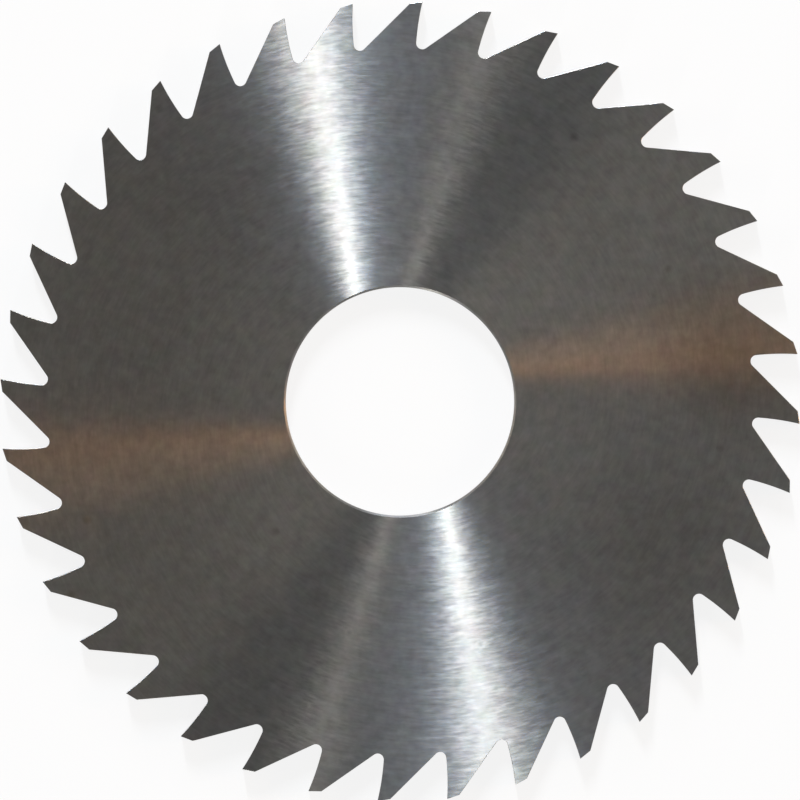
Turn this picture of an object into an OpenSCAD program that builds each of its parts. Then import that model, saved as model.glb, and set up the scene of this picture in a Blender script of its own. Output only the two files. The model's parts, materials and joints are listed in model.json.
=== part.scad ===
// Slitting saw: a thin flat disc of high speed steel with teeth around the rim and a plain round bore.
// Millimetres. The bore axis is Z, the blade lies flat with its lowest points on Z = 0,
// one cutting edge stands on +Y, and seen from +Z the teeth cut clockwise.

/* [Blade] */
// Outside diameter over the cutting edges
outside_diameter = 44.45; // [42:0.01:50]
// Width of the blade at the cutting edges
blade_width = 1.59; // [1:0.01:3.2]
// Diameter of the flat ring around the bore that the clamping collars bear on
seat_diameter = 22; // [18:0.5:28]
// Slope of each side from the rim down to the seat ring, in degrees
side_relief = 0.2; // [0.05:0.05:0.5]

/* [Bore] */
// Diameter of the arbor bore
bore_diameter = 12.7; // [10:0.1:14]
// Edge break at both ends of the bore, at 45 degrees
bore_chamfer = 0.1; // [0.05:0.05:0.35]

/* [Teeth] */
// Number of teeth
tooth_count = 36; // [30:2:40]
// Depth of a gullet below the cutting edges
tooth_depth = 2.64; // [2:0.02:3]
// Rake of the cutting face at its edge, in degrees
rake_angle = 10; // [6:0.5:14]
// Radius of the hollow in the cutting face
face_radius = 14.5; // [10:0.5:24]
// Radius at the bottom of a gullet
gullet_radius = 0.34; // [0.25:0.01:0.45]
// Length of the land behind the cutting edge
land_length = 0.72; // [0.5:0.02:1]
// Relief of the land below the rim circle, in degrees
land_relief = 12.3; // [8:0.1:16]

/* [Hidden] */
$fn = 120;
edge_radius = outside_diameter / 2;
bore_radius = bore_diameter / 2;
seat_radius = seat_diameter / 2;
pitch_angle = 360 / tooth_count;
// how far the seat ring lies below the width at the cutting edges, on each side
seat_drop = (edge_radius - seat_radius) * tan(side_relief);
// the blank stands this far outside the cutting edges before the teeth are cut
blank_allowance = 0.1;
blank_radius = edge_radius + blank_allowance;
blank_rise = blank_allowance * tan(side_relief);
// how far the gullet shape runs past the blade, above, below and outside it
overrun = 1;

// One gullet, drawn in front of the tooth whose edge is on +Y.
// The cutting face is an arc that starts at the edge and ends on the arc at the bottom of the gullet,
// and the back of the next tooth is a straight line from that arc to the heel of its land.
function turned(p, a) = [p.x * cos(a) - p.y * sin(a), p.x * sin(a) + p.y * cos(a)];
edge = [0, edge_radius];
heel = edge - land_length * [cos(land_relief), sin(land_relief)];
next_heel = turned(heel, -pitch_angle);
next_edge = turned(edge, -pitch_angle);
face_centre = edge + face_radius * [cos(rake_angle), -sin(rake_angle)];

// centre of the bottom arc: inside the face arc and touching the root circle
root_reach = edge_radius - tooth_depth + gullet_radius;
face_reach = face_radius - gullet_radius;
face_offset = norm(face_centre);
along = (root_reach * root_reach - face_reach * face_reach + face_offset * face_offset) / (2 * face_offset);
across = sqrt(root_reach * root_reach - along * along);
away = face_centre / face_offset;
root_centre = along * away + across * [-away.y, away.x];

// the gullet's own frame: origin at the centre of the bottom arc, x towards the centre of the face arc
to_face = face_centre - root_centre;
gullet_turn = atan2(to_face.y, to_face.x);
function in_gullet(p) = turned(p - root_centre, -gullet_turn);
heel_here = in_gullet(next_heel);
edge_here = in_gullet(next_edge);
heel_angle = atan2(heel_here.y, heel_here.x);
back_angle = heel_angle - acos(gullet_radius / norm(heel_here));
back_start = gullet_radius * [cos(back_angle), sin(back_angle)];
// the line of the land runs on past the next edge, clear of the blank
land_end = edge_here + overrun * (edge_here - heel_here) / land_length;
// a corner outside the blank, a quarter of the pitch behind this tooth's own edge
face_top = in_gullet(turned([0, edge_radius + overrun], pitch_angle / 4));

// Half of the disc's section, turned about the bore axis: flat seat rings by the bore, sides that
// widen to the rim, and an edge break at both ends of the bore.
module blank() {
    rotate_extrude()
        polygon([
            [bore_radius, seat_drop + bore_chamfer],
            [bore_radius + bore_chamfer, seat_drop],
            [seat_radius, seat_drop],
            [blank_radius, -blank_rise],
            [blank_radius, blade_width + blank_rise],
            [seat_radius, blade_width - seat_drop],
            [bore_radius + bore_chamfer, blade_width - seat_drop],
            [bore_radius, blade_width - seat_drop - bore_chamfer]
        ]);
}

// The space between two teeth, with the relieved land of the tooth in front.
module gullet() {
    translate([root_centre.x, root_centre.y, -overrun])
        rotate([0, 0, gullet_turn])
            linear_extrude(height = blade_width + 2 * overrun)
                union() {
                    circle(r = gullet_radius);
                    intersection() {
                        translate([face_reach, 0])
                            circle(r = face_radius);
                        polygon([
                            [-overrun, 0],
                            [0, 0],
                            back_start,
                            heel_here,
                            land_end,
                            face_top
                        ]);
                    }
                }
}

module saw_blade() {
    color([0.42, 0.42, 0.41])
        difference() {
            blank();
            for (i = [0 : tooth_count - 1])
                rotate([0, 0, -i * pitch_angle])
                    gullet();
        }
}

saw_blade();
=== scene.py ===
"""A slitting saw that lies flat on a white floor, seen straight from above.

The blade is one piece of ground tool steel. One tooth is drawn with its share of the disc, and a
node tree repeats it round the bore. Lengths are metres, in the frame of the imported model: the bore
axis is Z, one cutting edge stands on +Y, and seen from above the teeth cut clockwise.
"""

import json
import math

import bmesh
import bpy
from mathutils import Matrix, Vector


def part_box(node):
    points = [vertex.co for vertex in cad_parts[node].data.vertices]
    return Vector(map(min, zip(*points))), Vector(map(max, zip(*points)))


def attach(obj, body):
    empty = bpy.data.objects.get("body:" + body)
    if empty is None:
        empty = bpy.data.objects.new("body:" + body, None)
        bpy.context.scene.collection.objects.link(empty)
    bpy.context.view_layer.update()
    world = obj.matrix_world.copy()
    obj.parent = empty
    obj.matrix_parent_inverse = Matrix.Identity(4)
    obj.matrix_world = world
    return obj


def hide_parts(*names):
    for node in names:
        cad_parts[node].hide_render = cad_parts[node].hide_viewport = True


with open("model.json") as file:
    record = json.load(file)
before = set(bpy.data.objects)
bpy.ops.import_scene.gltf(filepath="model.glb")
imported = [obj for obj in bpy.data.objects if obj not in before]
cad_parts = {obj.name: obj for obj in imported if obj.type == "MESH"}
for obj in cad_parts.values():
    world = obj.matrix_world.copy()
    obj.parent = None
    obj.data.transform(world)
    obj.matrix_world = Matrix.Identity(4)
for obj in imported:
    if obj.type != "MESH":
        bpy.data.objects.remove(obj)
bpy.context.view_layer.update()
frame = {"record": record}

MM = 0.001

# Sizes that the frame gives
blade_low, blade_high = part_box("saw_blade")
mounts = {mount["name"]: mount for mount in frame["record"]["mounts"]}
EDGE_RADIUS = blade_high.y
BLADE_WIDTH = blade_high.z - blade_low.z
MIDDLE_HEIGHT = (blade_high.z + blade_low.z) / 2
BORE_RADIUS = mounts["arbor_bore"]["dims"]["r_mm"] * MM
BORE_LENGTH = mounts["arbor_bore"]["dims"]["length_mm"] * MM
SEAT_HEIGHT = mounts["upper_collar_seat"]["pos_m"][2]
SEAT_DROP = blade_high.z - SEAT_HEIGHT
BORE_CHAMFER = SEAT_HEIGHT - MIDDLE_HEIGHT - BORE_LENGTH / 2

# Sizes of the teeth and the seat ring, as the solid has them
TOOTH_COUNT = 36
TOOTH_DEPTH = 2.64 * MM
RAKE = math.radians(10)
FACE_RADIUS = 14.5 * MM
GULLET_RADIUS = 0.34 * MM
LAND_LENGTH = 0.72 * MM
LAND_RELIEF = math.radians(12.3)
SEAT_RADIUS = 11 * MM
PITCH = 2 * math.pi / TOOTH_COUNT

# Edge break of the teeth, made wherever two faces meet more steeply than the angle
EDGE_BREAK = 0.015 * MM
EDGE_BREAK_STEPS = 2
EDGE_BREAK_ANGLE = math.radians(50)
# Faces that meet more steeply than this are shaded apart
SHARP_ANGLE = math.radians(14)

# How finely one tooth and its share of the disc are divided
COLUMNS = 8
ROOT_STEPS = 6
FLANK_STEPS = 8
SEAT_RINGS = 2
WEB_RINGS = 4
# Points of neighbouring teeth that lie closer than this become one
WELD_DISTANCE = 0.001 * MM

# Surface that a face belongs to, kept as a face attribute, and the node tree's input for its finish
SIDE_SURFACE = 0
TOOTH_SURFACE = 1
BORE_SURFACE = 2
FINISH_INPUTS = {
    SIDE_SURFACE: "Side Finish",
    TOOTH_SURFACE: "Tooth Finish",
    BORE_SURFACE: "Bore Finish",
}

# Nearly all values of a noise lie in this range
NOISE_LOW = 0.25
NOISE_HIGH = 0.75

# Grinding marks of every surface: their depth, how many times finer the fine ones are,
# and the share of the broad ones' contrast that the fine ones have
MARK_DEPTH = 0.002 * MM
FINE_SCALE = 2.7
FINE_SHARE = 0.375

# Finish of the sides. The grinding marks are shallow spirals: every line across them passes
# the bore axis at the same distance.
SIDE_COLOUR = (0.41, 0.405, 0.395, 1)
SIDE_CONTRAST = 0.08
SIDE_RELIEF = 0.05
SIDE_SPREAD = 0.012
SIDE_ANISOTROPY = 1.0
LAY_OFFSET = 1.4 * MM
MARK_WIDTH = 0.18 * MM
MARK_LENGTH = 1.0 * MM
# Single marks wander from the common direction by up to this angle
LAY_WANDER = math.radians(1.1)
WANDER_SCALE = 1.3
WANDER_LOW = 0.36
WANDER_HIGH = 0.64
# Painted light and shade: the side's colour is made lighter by the bore and darker towards the rim
PAINTED_LIGHT_RADIUS = 7 * MM
PAINTED_LIGHT_FACTOR = 1.115
PAINTED_SHADE_RADIUS = 14.5 * MM
PAINTED_SHADE_FACTOR = 0.94
# It is a little smoother on the tips of the teeth than in the rest of the side
PLAIN_ROUGHNESS = 0.3
PLAIN_END_RADIUS = 19.3 * MM
TIP_ROUGHNESS = 0.29
TIP_RADIUS = 21.5 * MM

# Finish of the tooth walls and the bore wall. The sizes of a mark are along X, Y and Z.
WALL_COLOUR = (0.4, 0.395, 0.385, 1)
WALL_CONTRAST = 0.2
WALL_RELIEF = 0.25
WALL_SPREAD = 0.05
WALL_ANISOTROPY = 0.7
TOOTH_ROUGHNESS = 0.34
TOOTH_MARK = (0.11 * MM, 0.11 * MM, 1.6 * MM)
BORE_ROUGHNESS = 0.32
BORE_MARK = (2.5 * MM, 2.5 * MM, 0.1 * MM)

# Tarnish of the steel: tinted clouds, and finer light and dark grain
CLOUD_SIZE = 1.0 * MM
CLOUD_STRENGTH = 0.08
GRAIN_SIZE = 0.6 * MM
GRAIN_STRENGTH = 0.12
# Brown film that grows from one place along X to the other
FILM_TINT = (0.83, 0.81, 0.78, 1)
FILM_START = 10 * MM
FILM_END = -14 * MM
# The edges of the film and of the stains sway over about this length, by up to these distances
SWAY_SIZE = 9 * MM
FILM_SWAY = 8 * MM
STAIN_SWAY = 2.5 * MM
# Stains by the rim: place, reach and tint, full within the core
STAIN_CORE = 1.5 * MM
STAINS = (
    ((18.2 * MM, 3.2 * MM, BLADE_WIDTH), 5.5 * MM, (0.77, 0.75, 0.72, 1)),
    ((14.5 * MM, -6.8 * MM, BLADE_WIDTH), 6.5 * MM, (0.86, 0.85, 0.84, 1)),
)
# Specks. Core and edge are radii as shares of a cell, and free is the share of cells that have none.
SPECK_CELL = 3.2 * MM
SPECK_CORE = 0.03
SPECK_EDGE = 0.1
SPECK_FREE = 0.3
SPECK_DEPTH = 0.3
SPECK_COLOUR = (0.05, 0.046, 0.042, 1)
SPECK_ROUGHNESS = 0.15

# Picture: its width, the radius to the cutting edges and how far the bore lies below the middle,
# all in pixels, and how far the teeth are turned clockwise
PHOTO_SIZE = 800
PHOTO_EDGE_RADIUS = 400.4
PHOTO_BORE_DROP = 1.4
PHOTO_EDGE_TURN = math.radians(3.22)

# Camera: its distance from the upper side, the nearest that it sees, and its sensor in millimetres
CAMERA_DISTANCE = 0.5
CAMERA_NEAR = 0.01
SENSOR = 36.0

# Light panels. Widths and length are for a panel one metre away, and tilts are degrees from straight up.
PANEL_DISTANCE = 2.4
PANEL_LENGTH = 0.33
STREAK_WIDTH = 0.024
HIGH_TILT = 48
LOW_TILT = 64

# Even light from all round
WORLD_COLOUR = (0.97, 0.985, 1.0, 1)
WORLD_STRENGTH = 0.184

# Floor. The glow is the share of plain white in what it shows. The rest is lit and holds the shadow.
FLOOR_HALF = 1.5
FLOOR_COLOUR = (0.95, 0.95, 0.95, 1)
FLOOR_ROUGHNESS = 0.9
FLOOR_GLOW = 0.86


# Outline of one tooth

def turned(point, angle):
    """The point turned counterclockwise about the bore axis."""
    cosine, sine = math.cos(angle), math.sin(angle)
    return Vector((point.x * cosine - point.y * sine, point.x * sine + point.y * cosine))


def direction(angle):
    return Vector((math.cos(angle), math.sin(angle)))


def bearing(point):
    return math.atan2(point.y, point.x)


def arc(centre, start, end, steps):
    """Points after start, up to end, on the short arc about the centre."""
    first = bearing(start - centre)
    sweep = (bearing(end - centre) - first + math.pi) % (2 * math.pi) - math.pi
    radius = (start - centre).length
    return [centre + radius * direction(first + sweep * i / steps) for i in range(1, steps + 1)]


def tooth_flanks():
    """The back and the front of the tooth on +Y, each from the bottom of its gullet up to the land."""
    edge = Vector((0, EDGE_RADIUS))
    heel = edge - LAND_LENGTH * direction(LAND_RELIEF)
    face_centre = edge + FACE_RADIUS * direction(-RAKE)
    # the bottom arc of the gullet lies inside the face arc and touches the root circle
    root_reach = EDGE_RADIUS - TOOTH_DEPTH + GULLET_RADIUS
    face_reach = FACE_RADIUS - GULLET_RADIUS
    offset = face_centre.length
    along = (root_reach**2 - face_reach**2 + offset**2) / (2 * offset)
    across = math.sqrt(root_reach**2 - along**2)
    away = face_centre / offset
    root_centre = along * away + across * Vector((-away.y, away.x))
    bottom = root_centre * (1 - GULLET_RADIUS / root_reach)
    face_end = root_centre + (root_centre - face_centre) * (GULLET_RADIUS / face_reach)
    front = [bottom] + arc(root_centre, bottom, face_end, ROOT_STEPS)
    front += arc(face_centre, face_end, edge, FLANK_STEPS)
    # behind the tooth lies the same gullet, one pitch further round
    back_centre = turned(root_centre, PITCH)
    back_bottom = turned(bottom, PITCH)
    to_heel = heel - back_centre
    back_start = back_centre + GULLET_RADIUS * direction(
        bearing(to_heel) - math.acos(GULLET_RADIUS / to_heel.length)
    )
    back = [back_bottom] + arc(back_centre, back_bottom, back_start, ROOT_STEPS)
    back += [back_start.lerp(heel, i / FLANK_STEPS) for i in range(1, FLANK_STEPS + 1)]
    return back, front


def row_between(left, right):
    """Points across the tooth, with radius and bearing both shared out evenly."""
    row = []
    for i in range(COLUMNS + 1):
        share = i / COLUMNS
        radius = left.length + (right.length - left.length) * share
        angle = bearing(left) + (bearing(right) - bearing(left)) * share
        row.append(radius * direction(angle))
    return row


def tooth_rows():
    """Rows of points over one tooth and its share of the disc, from the bore to the land."""
    back, front = tooth_flanks()
    inner = BORE_RADIUS + BORE_CHAMFER
    root = front[0].length
    radii = [inner + (SEAT_RADIUS - inner) * i / SEAT_RINGS for i in range(SEAT_RINGS)]
    radii += [SEAT_RADIUS + (root - SEAT_RADIUS) * i / WEB_RINGS for i in range(WEB_RINGS)]
    to_back, to_front = back[0].normalized(), front[0].normalized()
    rows = [row_between(radius * to_back, radius * to_front) for radius in radii]
    rows += [row_between(left, right) for left, right in zip(back[:-1], front[:-1])]
    rows.append([back[-1].lerp(front[-1], i / COLUMNS) for i in range(COLUMNS + 1)])
    return rows, len(radii)


def tooth_mesh():
    """One tooth with its share of the disc, flat sided and open towards its neighbours."""
    rows, root_row = tooth_rows()
    half = BLADE_WIDTH / 2
    bm = bmesh.new()
    surface = bm.faces.layers.int.new("surface")

    def sheet(points, height):
        return [[bm.verts.new((p.x, p.y, MIDDLE_HEIGHT + height)) for p in row] for row in points]

    def strip(first, second, kind):
        for i in range(len(first) - 1):
            face = bm.faces.new((first[i], first[i + 1], second[i + 1], second[i]))
            face[surface] = kind

    upper = sheet(rows, half)
    lower = sheet(rows, -half)
    for j in range(len(rows) - 1):
        strip(upper[j], upper[j + 1], SIDE_SURFACE)
        strip(lower[j + 1], lower[j], SIDE_SURFACE)
    upper_back, upper_front = ([row[i] for row in upper[root_row:]] for i in (0, COLUMNS))
    lower_back, lower_front = ([row[i] for row in lower[root_row:]] for i in (0, COLUMNS))
    strip(upper_back, lower_back, TOOTH_SURFACE)
    strip(lower_front, upper_front, TOOTH_SURFACE)
    strip(upper[-1], lower[-1], TOOTH_SURFACE)
    bore_row = [p * (BORE_RADIUS / p.length) for p in rows[0]]
    upper_bore = sheet([bore_row], half - BORE_CHAMFER)[0]
    lower_bore = sheet([bore_row], BORE_CHAMFER - half)[0]
    strip(upper_bore, upper[0], BORE_SURFACE)
    strip(lower_bore, upper_bore, BORE_SURFACE)
    strip(lower[0], lower_bore, BORE_SURFACE)
    mesh = bpy.data.meshes.new("tooth")
    bm.to_mesh(mesh)
    bm.free()
    return mesh


# Node helpers

def add_node(tree, kind, settings=None, **inputs):
    """A new node with its settings and input values.

    An input is given by its name, with _ for a space, or by its number, as i0, i1 and so on.
    A value that is a socket is linked to it.
    """
    node = tree.nodes.new(kind)
    for name, value in (settings or {}).items():
        setattr(node, name, value)
    for name, value in inputs.items():
        counted = name[1:].isdigit()
        socket = node.inputs[int(name[1:]) if counted else name.replace("_", " ")]
        if isinstance(value, bpy.types.NodeSocket):
            tree.links.new(value, socket)
        else:
            socket.default_value = value
    return node


def math_node(tree, operation, first, second=0.0):
    node = add_node(tree, "ShaderNodeMath", {"operation": operation}, i0=first, i1=second)
    return node.outputs[0]


def vector_node(tree, operation, first, second=(0, 0, 0)):
    node = add_node(tree, "ShaderNodeVectorMath", {"operation": operation}, i0=first, i1=second)
    return node.outputs["Value" if operation in ("LENGTH", "DISTANCE") else "Vector"]


def scaled(tree, vector, factor):
    node = add_node(tree, "ShaderNodeVectorMath", {"operation": "SCALE"}, i0=vector, Scale=factor)
    return node.outputs["Vector"]


def in_range(tree, value, low, high, to_low, to_high):
    """The value moved from one range to another, and held inside it."""
    node = add_node(
        tree,
        "ShaderNodeMapRange",
        Value=value,
        From_Min=low,
        From_Max=high,
        To_Min=to_low,
        To_Max=to_high,
    )
    return node.outputs["Result"]


# The blade

def teeth_round_bore():
    """A node tree that repeats one tooth round the bore axis and hollows the sides towards the seat."""
    tree = bpy.data.node_groups.new("teeth_round_bore", "GeometryNodeTree")
    sockets = tree.interface
    sockets.new_socket("Tooth", in_out="INPUT", socket_type="NodeSocketGeometry")
    sockets.new_socket("Tooth Count", in_out="INPUT", socket_type="NodeSocketInt")
    for name in ("Edge Radius", "Seat Radius", "Seat Drop", "Middle Height", "Weld Distance"):
        sockets.new_socket(name, in_out="INPUT", socket_type="NodeSocketFloat")
    for name in FINISH_INPUTS.values():
        sockets.new_socket(name, in_out="INPUT", socket_type="NodeSocketMaterial")
    sockets.new_socket("Blade", in_out="OUTPUT", socket_type="NodeSocketGeometry")
    given = tree.nodes.new("NodeGroupInput").outputs

    # one point for each tooth, all on the axis, each turned one pitch further
    points = add_node(tree, "GeometryNodePoints", Count=given["Tooth Count"])
    index = tree.nodes.new("GeometryNodeInputIndex").outputs["Index"]
    pitch = math_node(tree, "DIVIDE", 2 * math.pi, given["Tooth Count"])
    turn = math_node(tree, "MULTIPLY", index, pitch)
    rotation = add_node(tree, "FunctionNodeAxisAngleToRotation", Axis=(0, 0, 1), Angle=turn)
    copies = add_node(
        tree,
        "GeometryNodeInstanceOnPoints",
        Points=points.outputs[0],
        Instance=given["Tooth"],
        Rotation=rotation.outputs["Rotation"],
    )
    whole = add_node(tree, "GeometryNodeRealizeInstances", Geometry=copies.outputs["Instances"])
    welded = add_node(
        tree,
        "GeometryNodeMergeByDistance",
        Geometry=whole.outputs["Geometry"],
        Distance=given["Weld Distance"],
    )

    # both sides fall from the rim to the seat ring
    position = tree.nodes.new("GeometryNodeInputPosition").outputs["Position"]
    parts = add_node(tree, "ShaderNodeSeparateXYZ", Vector=position).outputs
    flat = add_node(tree, "ShaderNodeCombineXYZ", X=parts["X"], Y=parts["Y"]).outputs["Vector"]
    radius = vector_node(tree, "LENGTH", flat)
    drop = in_range(tree, radius, given["Edge Radius"], given["Seat Radius"], 0.0, given["Seat Drop"])
    side = math_node(tree, "SIGN", math_node(tree, "SUBTRACT", given["Middle Height"], parts["Z"]))
    shift = add_node(tree, "ShaderNodeCombineXYZ", Z=math_node(tree, "MULTIPLY", side, drop))
    hollowed = add_node(
        tree,
        "GeometryNodeSetPosition",
        Geometry=welded.outputs["Geometry"],
        Offset=shift.outputs["Vector"],
    )

    # each surface gets its own finish
    surface = add_node(tree, "GeometryNodeInputNamedAttribute", {"data_type": "INT"}, Name="surface")
    result = hollowed.outputs["Geometry"]
    for kind, finish in FINISH_INPUTS.items():
        chosen = add_node(
            tree,
            "FunctionNodeCompare",
            {"data_type": "INT", "operation": "EQUAL"},
            i2=surface.outputs["Attribute"],
            i3=kind,
        )
        painted = add_node(
            tree,
            "GeometryNodeSetMaterial",
            Geometry=result,
            Selection=chosen.outputs["Result"],
            Material=given[finish],
        )
        result = painted.outputs["Geometry"]
    last = tree.nodes.new("NodeGroupOutput")
    tree.links.new(result, last.inputs["Blade"])
    return tree


def make_blade(finishes):
    """The whole blade as a plain mesh: teeth repeated, sides hollowed, edges broken."""
    draft = bpy.data.objects.new("blade_draft", tooth_mesh())
    bpy.context.scene.collection.objects.link(draft)
    repeat = draft.modifiers.new("teeth", "NODES")
    repeat.node_group = teeth_round_bore()
    values = {
        "Tooth Count": TOOTH_COUNT,
        "Edge Radius": EDGE_RADIUS,
        "Seat Radius": SEAT_RADIUS,
        "Seat Drop": SEAT_DROP,
        "Middle Height": MIDDLE_HEIGHT,
        "Weld Distance": WELD_DISTANCE,
    }
    values.update({FINISH_INPUTS[kind]: finish for kind, finish in finishes.items()})
    for item in repeat.node_group.interface.items_tree:
        if item.name in values:
            repeat[item.identifier] = values[item.name]
    edges = draft.modifiers.new("edge_break", "BEVEL")
    edges.width = EDGE_BREAK
    edges.segments = EDGE_BREAK_STEPS
    edges.limit_method = "ANGLE"
    edges.angle_limit = EDGE_BREAK_ANGLE
    depsgraph = bpy.context.evaluated_depsgraph_get()
    mesh = bpy.data.meshes.new_from_object(draft.evaluated_get(depsgraph), depsgraph=depsgraph)
    bpy.data.objects.remove(draft)
    bm = bmesh.new()
    bm.from_mesh(mesh)
    bmesh.ops.recalc_face_normals(bm, faces=bm.faces)
    bm.to_mesh(mesh)
    bm.free()
    mesh.name = "ground_saw_blade"
    mesh.shade_smooth()
    mesh.set_sharp_from_angle(angle=SHARP_ANGLE)
    blade = bpy.data.objects.new("ground_saw_blade", mesh)
    bpy.context.scene.collection.objects.link(blade)
    return blade


# Finishes

def new_group(name, inputs, outputs):
    """An empty shader group with named inputs and outputs, and the sockets to build it between."""
    group = bpy.data.node_groups.new(name, "ShaderNodeTree")
    for label, kind, value in inputs:
        socket = group.interface.new_socket(label, in_out="INPUT", socket_type=kind)
        if value is not None:
            socket.default_value = value
    for label, kind in outputs:
        group.interface.new_socket(label, in_out="OUTPUT", socket_type=kind)
    given = group.nodes.new("NodeGroupInput").outputs
    out = group.nodes.new("NodeGroupOutput").inputs
    return group, given, out


def mixed(tree, blend, factor, first, second):
    """Two colours mixed in the given way."""
    settings = {"data_type": "RGBA", "blend_type": blend}
    return add_node(tree, "ShaderNodeMix", settings, i0=factor, i6=first, i7=second).outputs[2]


def tarnish_group():
    """Bare steel with faint clouds and grain, a brown film towards one side, stains and a few specks."""
    group, given, out = new_group(
        "tarnish",
        [
            ("Steel", "NodeSocketColor", SIDE_COLOUR),
            ("Cloud Size", "NodeSocketFloat", CLOUD_SIZE),
            ("Cloud Strength", "NodeSocketFloat", CLOUD_STRENGTH),
            ("Grain Size", "NodeSocketFloat", GRAIN_SIZE),
            ("Grain Strength", "NodeSocketFloat", GRAIN_STRENGTH),
            ("Speck Depth", "NodeSocketFloat", SPECK_DEPTH),
        ],
        [("Color", "NodeSocketColor"), ("Speck", "NodeSocketFloat")],
    )
    place = group.nodes.new("ShaderNodeTexCoord").outputs["Object"]
    parts = add_node(group, "ShaderNodeSeparateXYZ", Vector=place).outputs
    clouds = add_node(
        group,
        "ShaderNodeTexNoise",
        Vector=place,
        Scale=math_node(group, "DIVIDE", 1.0, given["Cloud Size"]),
        Detail=3.0,
        Roughness=0.6,
    )
    clouded = mixed(group, "OVERLAY", given["Cloud Strength"], given["Steel"], clouds.outputs["Color"])
    grain = add_node(
        group,
        "ShaderNodeTexNoise",
        Vector=place,
        Scale=math_node(group, "DIVIDE", 1.0, given["Grain Size"]),
        Detail=2.0,
    )
    spotted = in_range(group, grain.outputs["Fac"], NOISE_LOW, NOISE_HIGH, -1.0, 1.0)
    spots = math_node(group, "MULTIPLY", spotted, given["Grain Strength"])
    grained = mixed(group, "MULTIPLY", 1.0, clouded, math_node(group, "ADD", 1.0, spots))
    # the film has no clear border
    sway = add_node(group, "ShaderNodeTexNoise", Vector=place, Scale=1 / SWAY_SIZE, Detail=2.0)
    film_shift = in_range(group, sway.outputs["Fac"], 0.0, 1.0, -FILM_SWAY, FILM_SWAY)
    film_place = math_node(group, "ADD", parts["X"], film_shift)
    film = in_range(group, film_place, FILM_START, FILM_END, 0.0, 1.0)
    stained = mixed(group, "MULTIPLY", film, grained, FILM_TINT)
    # darker stains by the rim
    stain_shift = in_range(group, sway.outputs["Fac"], 0.0, 1.0, -STAIN_SWAY, STAIN_SWAY)
    for centre, reach, tint in STAINS:
        apart = math_node(group, "ADD", vector_node(group, "DISTANCE", place, centre), stain_shift)
        stain = in_range(group, apart, reach, STAIN_CORE, 0.0, 1.0)
        stained = mixed(group, "MULTIPLY", stain, stained, tint)
    # specks lie in the middle of most cells, and the surface meets few of them
    cells = add_node(group, "ShaderNodeTexVoronoi", Vector=place, Scale=1 / SPECK_CELL, Randomness=1.0)
    near = in_range(group, cells.outputs["Distance"], SPECK_CORE, SPECK_EDGE, 1.0, 0.0)
    chance = add_node(group, "ShaderNodeSeparateColor", Color=cells.outputs["Color"]).outputs["Red"]
    speck = math_node(group, "MULTIPLY", near, math_node(group, "GREATER_THAN", chance, SPECK_FREE))
    depth = math_node(group, "MULTIPLY", speck, given["Speck Depth"])
    group.links.new(mixed(group, "MIX", depth, stained, SPECK_COLOUR), out["Color"])
    group.links.new(speck, out["Speck"])
    return group


def grind_group():
    """Marks of a grinding wheel, broad ones and finer ones, each from 0 to 1."""
    group, given, out = new_group(
        "grind_marks",
        [("Lines", "NodeSocketVector", None), ("Phase", "NodeSocketFloat", 0.0)],
        [("Broad", "NodeSocketFloat"), ("Fine", "NodeSocketFloat")],
    )
    for name, scale, detail in (("Broad", 1.0, 2.0), ("Fine", FINE_SCALE, 1.0)):
        noise = add_node(
            group,
            "ShaderNodeTexNoise",
            {"noise_dimensions": "4D"},
            Vector=given["Lines"],
            W=given["Phase"],
            Scale=scale,
            Detail=detail,
            Roughness=0.55,
        )
        mark = in_range(group, noise.outputs["Fac"], NOISE_LOW, NOISE_HIGH, 0.0, 1.0)
        group.links.new(mark, out[name])
    return group


def new_finish(name):
    """A bare metal material with its node tree and shader."""
    material = bpy.data.materials.new(name)
    material.use_nodes = True
    shader = material.node_tree.nodes["Principled BSDF"]
    shader.inputs["Metallic"].default_value = 1.0
    return material, material.node_tree, shader


def add_steel(tree, shader, tarnish, marks, colour, roughness, spread, contrast, relief):
    """Colour, roughness and bump of ground steel from the shared groups.

    Spread is how far broad marks change the roughness, contrast how far they lighten or darken
    the steel, and relief how strongly fine marks show as bump.
    """
    tint = add_node(tree, "ShaderNodeGroup", {"node_tree": tarnish}, Steel=colour)
    fine_contrast = contrast * FINE_SHARE
    shade = in_range(tree, marks.outputs["Fine"], 0.0, 1.0, 1 - fine_contrast, 1 + fine_contrast)
    band = in_range(tree, marks.outputs["Broad"], 0.0, 1.0, 1 - contrast, 1 + contrast)
    tone = math_node(tree, "MULTIPLY", shade, band)
    marked = mixed(tree, "MULTIPLY", 1.0, tint.outputs["Color"], tone)
    tree.links.new(marked, shader.inputs["Base Color"])
    uneven = in_range(tree, marks.outputs["Broad"], 0.0, 1.0, -spread, spread)
    pitted = math_node(tree, "MULTIPLY", tint.outputs["Speck"], SPECK_ROUGHNESS)
    rough = math_node(tree, "ADD", roughness, math_node(tree, "ADD", uneven, pitted))
    tree.links.new(rough, shader.inputs["Roughness"])
    bump = add_node(
        tree,
        "ShaderNodeBump",
        Height=marks.outputs["Fine"],
        Strength=relief,
        Distance=MARK_DEPTH,
    )
    tree.links.new(bump.outputs["Normal"], shader.inputs["Normal"])


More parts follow.
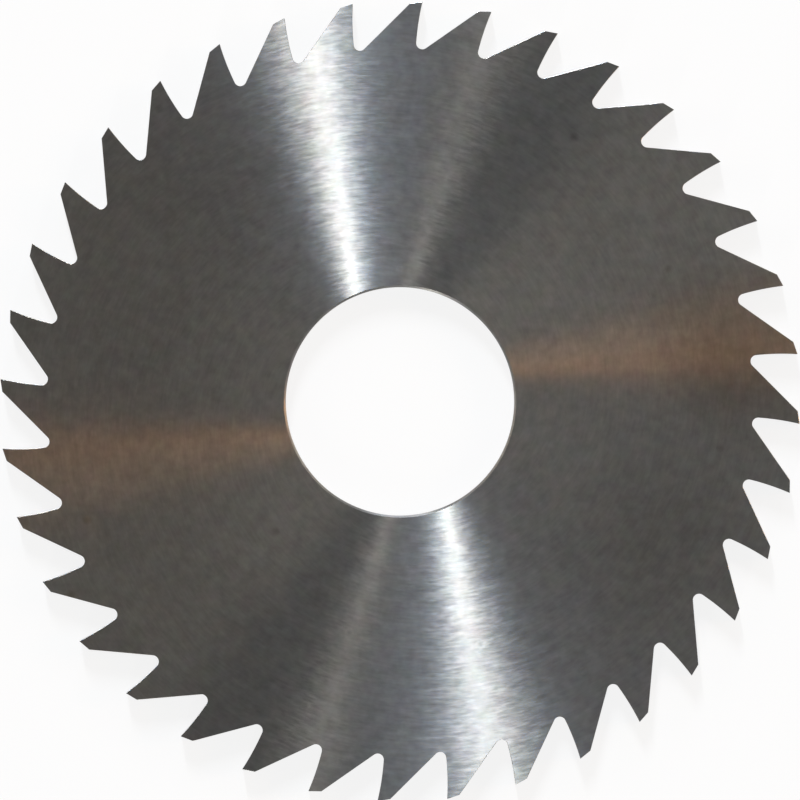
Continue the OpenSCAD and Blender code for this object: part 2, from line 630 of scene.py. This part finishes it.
def side_finish(tarnish, grind):
    """Sides ground in shallow spirals about the bore, so that lights show as radial streaks."""
    material, tree, shader = new_finish("spiral_ground_steel")
    place = tree.nodes.new("ShaderNodeTexCoord").outputs["Object"]
    parts = add_node(tree, "ShaderNodeSeparateXYZ", Vector=place).outputs
    flat = add_node(tree, "ShaderNodeCombineXYZ", X=parts["X"], Y=parts["Y"]).outputs["Vector"]
    radius = vector_node(tree, "LENGTH", flat)
    # reach: distance along the line across the marks, from where it passes nearest the axis
    square = math_node(tree, "SUBTRACT", math_node(tree, "POWER", radius, 2.0), LAY_OFFSET**2)
    reach = math_node(tree, "SQRT", math_node(tree, "MAXIMUM", square, 0.0))
    sideways = scaled(tree, vector_node(tree, "CROSS_PRODUCT", (0, 0, 1), flat), LAY_OFFSET)
    outward = vector_node(tree, "SUBTRACT", scaled(tree, flat, reach), sideways)
    across = vector_node(tree, "NORMALIZE", outward)
    # coordinates that hardly change along a mark, and join up after a full turn
    lay = add_node(tree, "ShaderNodeSeparateXYZ", Vector=across).outputs
    heading = math_node(tree, "ARCTAN2", lay["Y"], lay["X"])
    phase = math_node(tree, "SUBTRACT", math_node(tree, "DIVIDE", reach, LAY_OFFSET), heading)
    density = LAY_OFFSET / MARK_WIDTH
    lines = add_node(
        tree,
        "ShaderNodeCombineXYZ",
        X=math_node(tree, "DIVIDE", parts["X"], MARK_LENGTH),
        Y=math_node(tree, "DIVIDE", parts["Y"], MARK_LENGTH),
        Z=math_node(tree, "MULTIPLY", math_node(tree, "COSINE", phase), density),
    ).outputs["Vector"]
    fourth = math_node(tree, "MULTIPLY", math_node(tree, "SINE", phase), density)
    marks = add_node(tree, "ShaderNodeGroup", {"node_tree": grind}, Lines=lines, Phase=fourth)
    # painted shading, lighter by the bore and darker outwards, and a little smoother on the tips of the
    # teeth
    painted_shading = in_range(tree, radius, PAINTED_LIGHT_RADIUS, PAINTED_SHADE_RADIUS, PAINTED_LIGHT_FACTOR, PAINTED_SHADE_FACTOR)
    colour = mixed(tree, "MULTIPLY", 1.0, SIDE_COLOUR, painted_shading)
    roughness = in_range(tree, radius, PLAIN_END_RADIUS, TIP_RADIUS, PLAIN_ROUGHNESS, TIP_ROUGHNESS)
    add_steel(tree, shader, tarnish, marks, colour, roughness, SIDE_SPREAD, SIDE_CONTRAST, SIDE_RELIEF)
    # single marks wander a little from the common direction
    wander = add_node(
        tree,
        "ShaderNodeTexNoise",
        {"noise_dimensions": "4D"},
        Vector=lines,
        W=fourth,
        Scale=WANDER_SCALE,
        Detail=2.0,
        Roughness=0.6,
    )
    swing = in_range(tree, wander.outputs["Fac"], WANDER_LOW, WANDER_HIGH, -LAY_WANDER, LAY_WANDER)
    along = vector_node(tree, "CROSS_PRODUCT", (0, 0, 1), across)
    tangent = vector_node(tree, "ADD", across, scaled(tree, along, swing))
    tree.links.new(tangent, shader.inputs["Tangent"])
    shader.inputs["Anisotropic"].default_value = SIDE_ANISOTROPY
    return material


def add_wall_steel(tree, shader, tarnish, grind, mark_size, roughness):
    """Ground steel of a wall, with straight marks of the given size."""
    place = tree.nodes.new("ShaderNodeTexCoord").outputs["Object"]
    lines = vector_node(tree, "DIVIDE", place, mark_size)
    marks = add_node(tree, "ShaderNodeGroup", {"node_tree": grind}, Lines=lines)
    add_steel(
        tree, shader, tarnish, marks, WALL_COLOUR, roughness, WALL_SPREAD, WALL_CONTRAST, WALL_RELIEF
    )
    shader.inputs["Anisotropic"].default_value = WALL_ANISOTROPY


def tooth_finish(tarnish, grind):
    """Tooth walls and gullets ground straight across the width of the blade."""
    material, tree, shader = new_finish("cross_ground_steel")
    add_wall_steel(tree, shader, tarnish, grind, TOOTH_MARK, TOOTH_ROUGHNESS)
    normal = tree.nodes.new("ShaderNodeNewGeometry").outputs["Normal"]
    tree.links.new(vector_node(tree, "CROSS_PRODUCT", normal, (0, 0, 1)), shader.inputs["Tangent"])
    return material


def bore_finish(tarnish, grind):
    """Bore wall ground round the axis."""
    material, tree, shader = new_finish("bore_ground_steel")
    add_wall_steel(tree, shader, tarnish, grind, BORE_MARK, BORE_ROUGHNESS)
    upward = add_node(tree, "ShaderNodeCombineXYZ", Z=1.0)
    tree.links.new(upward.outputs["Vector"], shader.inputs["Tangent"])
    return material


# Stage, light and camera

def in_photo(azimuth_deg, tilt_deg):
    """Unit vector to a light: turned clockwise from the top of the picture, tilted from straight up."""
    azimuth = math.radians(azimuth_deg) - PHOTO_EDGE_TURN
    tilt = math.radians(tilt_deg)
    outward = math.sin(tilt)
    return Vector((math.sin(azimuth) * outward, math.cos(azimuth) * outward, math.cos(tilt)))


def add_panel(name, azimuth, tilt, width, level, colour):
    """A soft panel that faces the blade. At level 1, it alone would light a white floor to white."""
    towards = in_photo(azimuth, tilt)
    lamp = bpy.data.lights.new(name, "AREA")
    lamp.shape = "RECTANGLE"
    lamp.size = width * PANEL_DISTANCE
    lamp.size_y = PANEL_LENGTH * PANEL_DISTANCE
    lamp.energy = level * math.pi**2 * PANEL_DISTANCE**2 / towards.z
    lamp.color = colour
    panel = bpy.data.objects.new(name, lamp)
    panel.location = towards * PANEL_DISTANCE
    panel.rotation_euler = towards.to_track_quat("Z", "Y").to_euler()
    bpy.context.scene.collection.objects.link(panel)


def add_lights():
    """A white panel for the bright streak, bluish ones for its edges, and weak ones for the bands."""
    add_panel("main_panel", 350, HIGH_TILT, STREAK_WIDTH, 0.41, (1.0, 0.98, 0.945))
    add_panel("window_panel", 351.2, HIGH_TILT, STREAK_WIDTH, 0.06, (0.2, 0.6, 1.0))
    add_panel("window_edge_right", 355.5, HIGH_TILT, STREAK_WIDTH, 0.022, (0.0, 0.35, 1.0))
    add_panel("window_edge_left", 343.5, HIGH_TILT, STREAK_WIDTH, 0.018, (0.0, 0.35, 1.0))
    add_panel("slim_panel", 197.4, LOW_TILT, 0.012, 0.062, (1.0, 0.98, 0.94))
    add_panel("back_panel_right", 5.5, LOW_TILT, 0.18, 0.052, (0.74, 0.82, 1.0))
    add_panel("back_panel_left", 328, LOW_TILT, 0.2, 0.016, (1.0, 0.9, 0.92))
    add_panel("warm_edge_panel", 86.5, LOW_TILT, 0.028, 0.051, (1.0, 0.47, 0.15))
    add_panel("warm_panel", 79.5, LOW_TILT, 0.113, 0.048, (1.0, 0.63, 0.36))
    add_panel("side_panel_right", 56, LOW_TILT, 0.53, 0.073, (1.0, 0.87, 0.68))
    add_panel("side_panel_left", 295, LOW_TILT, 0.81, 0.066, (1.0, 0.82, 0.6))


def add_world():
    world = bpy.data.worlds.new("studio")
    bpy.context.scene.world = world
    world.use_nodes = True
    background = world.node_tree.nodes["Background"]
    background.inputs["Color"].default_value = WORLD_COLOUR
    background.inputs["Strength"].default_value = WORLD_STRENGTH


def add_floor():
    """A white floor that shows white to the camera and in the metal, and keeps a faint shadow."""
    mesh = bpy.data.meshes.new("floor")
    corners = [(-1, -1), (1, -1), (1, 1), (-1, 1)]
    points = [(x * FLOOR_HALF, y * FLOOR_HALF, blade_low.z) for x, y in corners]
    mesh.from_pydata(points, [], [(0, 1, 2, 3)])
    floor = bpy.data.objects.new("floor", mesh)
    bpy.context.scene.collection.objects.link(floor)
    material = bpy.data.materials.new("white_floor")
    material.use_nodes = True
    tree = material.node_tree
    shader = tree.nodes["Principled BSDF"]
    shader.inputs["Base Color"].default_value = FLOOR_COLOUR
    shader.inputs["Roughness"].default_value = FLOOR_ROUGHNESS
    shader.inputs["Specular IOR Level"].default_value = 0.0
    glow = add_node(tree, "ShaderNodeEmission", Color=(1, 1, 1, 1), Strength=1.0)
    rays = tree.nodes.new("ShaderNodeLightPath").outputs
    mirrored = math_node(tree, "MAXIMUM", rays["Is Glossy Ray"], rays["Is Transmission Ray"])
    seen = math_node(tree, "MAXIMUM", rays["Is Camera Ray"], mirrored)
    blend = add_node(
        tree,
        "ShaderNodeMixShader",
        i0=math_node(tree, "MULTIPLY", seen, FLOOR_GLOW),
        i1=shader.outputs["BSDF"],
        i2=glow.outputs["Emission"],
    )
    tree.links.new(blend.outputs["Shader"], tree.nodes["Material Output"].inputs["Surface"])
    mesh.materials.append(material)


def add_camera():
    """Straight above the bore, turned so that the teeth stand as in the picture."""
    camera = bpy.data.cameras.new("camera")
    camera.sensor_width = SENSOR
    picture_width = EDGE_RADIUS * PHOTO_SIZE / PHOTO_EDGE_RADIUS
    camera.lens = SENSOR * CAMERA_DISTANCE / picture_width
    camera.shift_y = PHOTO_BORE_DROP / PHOTO_SIZE
    camera.clip_start = CAMERA_NEAR
    holder = bpy.data.objects.new("camera", camera)
    holder.location = (0, 0, blade_high.z + CAMERA_DISTANCE)
    holder.rotation_euler = (0, 0, PHOTO_EDGE_TURN)
    bpy.context.scene.collection.objects.link(holder)
    bpy.context.scene.camera = holder


bpy.context.scene.view_settings.view_transform = "Standard"
add_camera()
add_world()
add_lights()
add_floor()

tarnish = tarnish_group()
grind = grind_group()
blade = make_blade(
    {
        SIDE_SURFACE: side_finish(tarnish, grind),
        TOOTH_SURFACE: tooth_finish(tarnish, grind),
        BORE_SURFACE: bore_finish(tarnish, grind),
    }
)
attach(blade, "root")
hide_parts("saw_blade")
